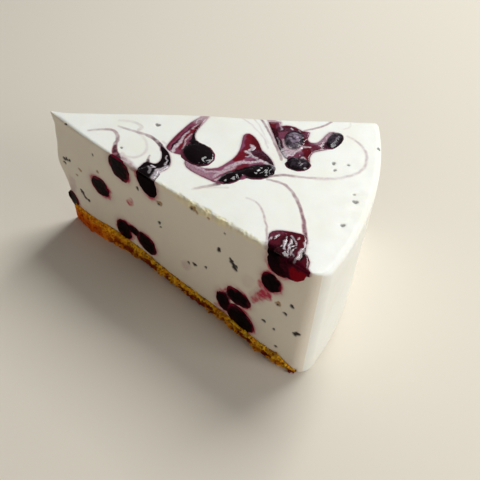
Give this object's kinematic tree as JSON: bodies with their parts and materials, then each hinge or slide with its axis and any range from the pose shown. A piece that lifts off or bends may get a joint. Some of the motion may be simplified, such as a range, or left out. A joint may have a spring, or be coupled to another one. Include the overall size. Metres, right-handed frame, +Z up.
{
  "type": "slice of berry cheesecake",
  "caption": "Slice of baked berry cheesecake on a crumb crust, with jam swirled into the top and berries showing at the cuts.",
  "frame": {"origin": "middle of the slice's footprint, on its underside", "axes": "+X from the tip towards the curved outer wall, +Y across the slice, +Z up"},
  "size_m": [0.1016, 0.0636, 0.0479],
  "materials": {
    "baked_filling": "pale cream baked filling, smooth and slightly moist",
    "crumb_crust": "golden brown crumb, rough and dry",
    "berry_skin": "dark baked berry, wet",
    "berry_jam": "dark red jam streaked with cream, glossy"
  },
  "bodies": {
    "root": {"filling": "baked_filling", "crust": "crumb_crust", "berry_near_1": "berry_skin", "berry_near_2": "berry_skin", "berry_near_3": "berry_skin", "berry_near_4": "berry_skin", "berry_near_5": "berry_skin", "berry_near_6": "berry_skin", "berry_near_7": "berry_skin", "berry_near_8": "berry_skin", "berry_near_9": "berry_skin", "berry_near_10": "berry_skin", "berry_near_11": "berry_skin", "berry_near_12": "berry_skin", "berry_far_1": "berry_skin", "berry_far_2": "berry_skin", "berry_far_3": "berry_skin", "berry_far_4": "berry_skin", "berry_far_5": "berry_skin", "berry_far_6": "berry_skin", "berry_far_7": "berry_skin", "berry_far_8": "berry_skin", "berry_top_1": "berry_skin", "berry_top_2": "berry_skin", "berry_top_3": "berry_skin", "berry_top_4": "berry_skin", "berry_top_5": "berry_skin", "berry_top_6": "berry_skin", "jam_ribbon": "berry_jam", "jam_band": "berry_jam", "jam_star": "berry_jam", "jam_crescent": "berry_jam", "jam_spill": "berry_jam"}
  },
  "joints": []
}
